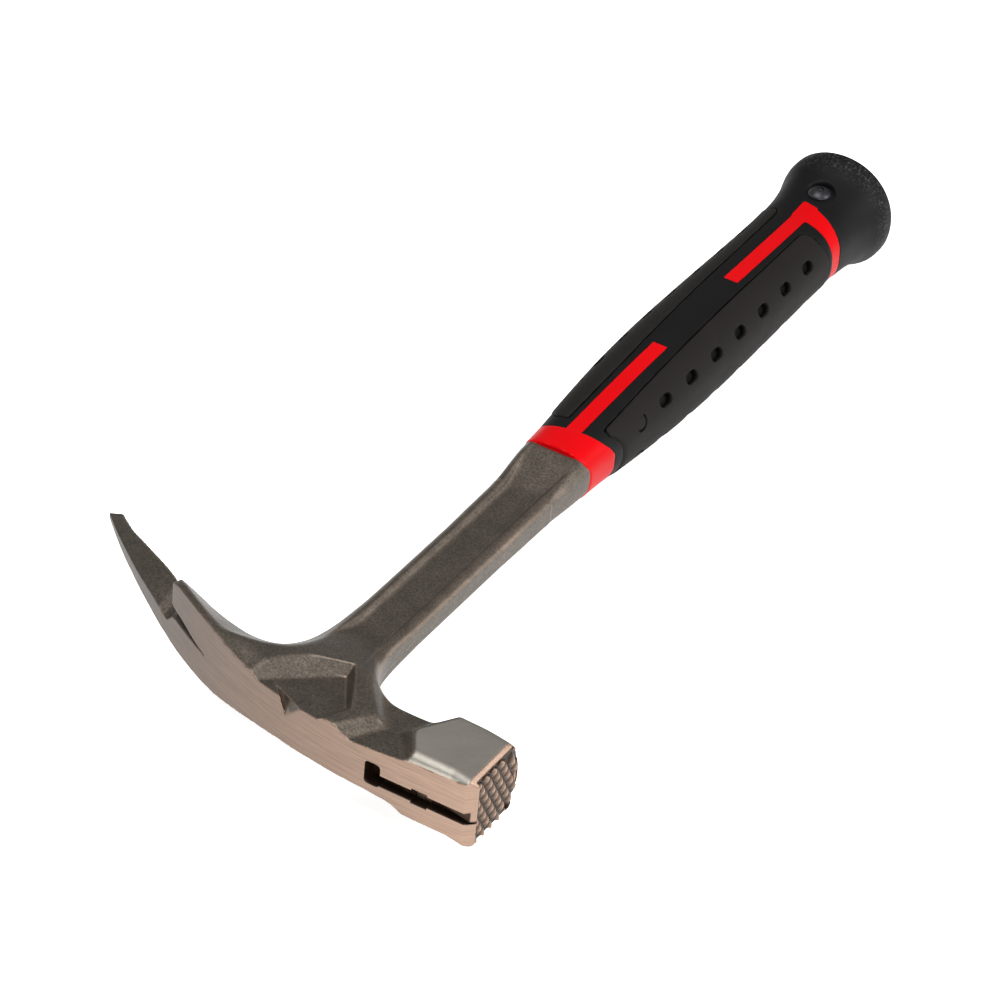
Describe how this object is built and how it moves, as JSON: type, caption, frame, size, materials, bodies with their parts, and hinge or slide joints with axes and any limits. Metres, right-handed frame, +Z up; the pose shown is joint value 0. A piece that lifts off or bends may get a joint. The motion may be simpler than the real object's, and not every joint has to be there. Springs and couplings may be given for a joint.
{
  "type": "framing hammer",
  "caption": "One-piece forged steel hammer with a square milled face, magnetic nail holder, side nail puller, spiked claw and a moulded two-colour grip.",
  "frame": {"origin": "Middle of the footprint of the hammer lying on its side, on the plane that the pommel touches.", "axes": "+X the way the striking face points, +Y along the handle from the head to the pommel, +Z up out of the cheek with the side nail puller."},
  "size_m": [0.1664, 0.34, 0.039],
  "materials": {
    "forged_steel": "dark forged skin, with the face, the head's top and the poll's sides ground bright",
    "magnet": "dull plated magnet",
    "red_plastic": "satin moulded",
    "black_rubber": "smooth matt",
    "pad_rubber": "soft, fine grained",
    "dark_screw": "black oxide"
  },
  "bodies": {
    "root": {"forged_body": "forged_steel", "nail_magnet": "magnet", "grip_core": "red_plastic", "grip_sleeve": "black_rubber", "front_pad": "pad_rubber", "back_pad": "pad_rubber", "grip_screw": "dark_screw", "grip_nut": "dark_screw"}
  },
  "joints": []
}
